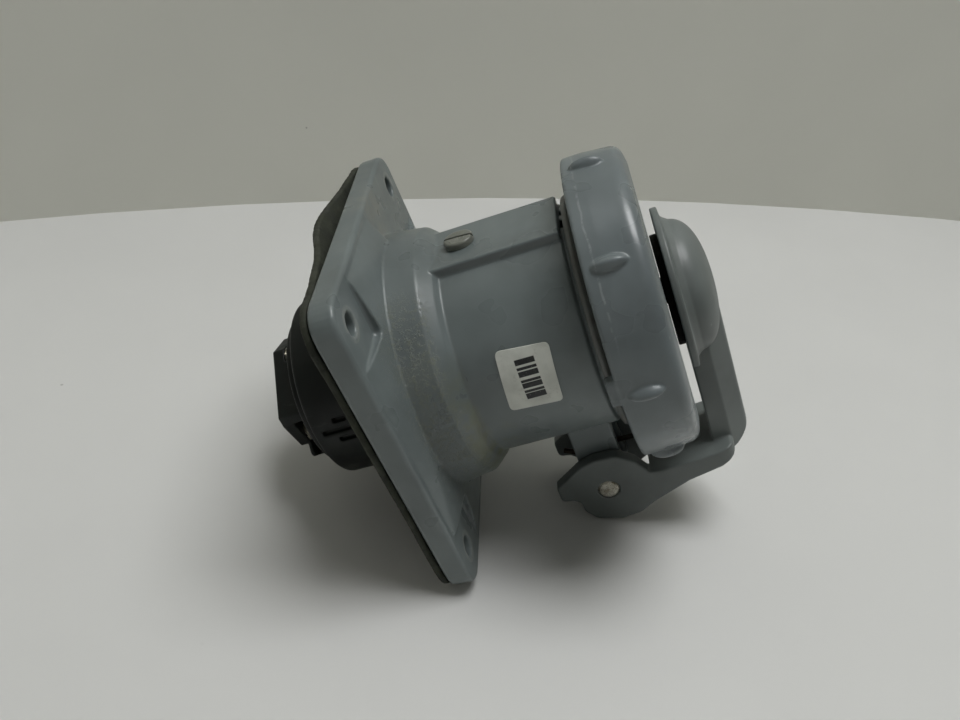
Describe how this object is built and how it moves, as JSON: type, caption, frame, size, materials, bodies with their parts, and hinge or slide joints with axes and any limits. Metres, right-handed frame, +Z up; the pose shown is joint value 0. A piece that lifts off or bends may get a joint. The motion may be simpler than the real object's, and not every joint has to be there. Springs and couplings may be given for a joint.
{
  "type": "pin-and-sleeve power inlet housing",
  "caption": "Flange-mounted round power inlet in a painted cast housing, with pin contacts in a dark insulator and a ribbed screw cap on a sprung hinged arm.",
  "frame": {"origin": "centre of the bounding box with the cover closed. The axis of the mouth is 11.14 mm above it, and the flange's back face is 29.5 mm behind it", "axes": "-Y runs out of the mouth along the housing's axis, +Z is up towards the flat rail on the barrel, and the cover's hinge pin runs along X below the barrel"},
  "size_m": [0.1016, 0.134, 0.1238],
  "materials": {
    "cast_paint": "satin",
    "arm_paint": "satin",
    "phenolic": "satin",
    "gasket_cork": "matte",
    "neoprene": "matte",
    "contact_brass": "satin",
    "plated_steel": "satin",
    "spring_steel": "satin",
    "sticker": "matte"
  },
  "bodies": {
    "housing_body": {"housing": "cast_paint", "flange_gasket": "gasket_cork", "rear_insulator": "phenolic", "front_insulator": "phenolic", "rail_screw": "cast_paint", "hinge_pin": "plated_steel", "hinge_spring": "spring_steel", "label": "sticker", "contact_pin_1": "contact_brass", "contact_pin_2": "contact_brass", "contact_pin_3": "contact_brass", "terminal_screw_1": "plated_steel", "terminal_screw_2": "plated_steel", "terminal_screw_3": "plated_steel", "insulator_screw_1": "plated_steel", "insulator_screw_2": "plated_steel"},
    "arm": {"cover_arm": "arm_paint", "stud_retainer": "plated_steel"},
    "cap": {"screw_cap": "cast_paint", "cap_seal": "neoprene", "cap_stud": "plated_steel", "stud_washer": "plated_steel"}
  },
  "joints": [
    {"name": "arm_hinge", "type": "hinge", "parent": "housing_body", "child": "arm", "pos_m": [0, -0.0189, -0.04796], "axis": [1, 0, 0], "range_deg": [0, 150]},
    {"name": "cap_spin", "type": "hinge", "parent": "arm", "child": "cap", "pos_m": [0, -0.043, 0.01114], "axis": [0, -1, 0], "continuous": true}
  ]
}
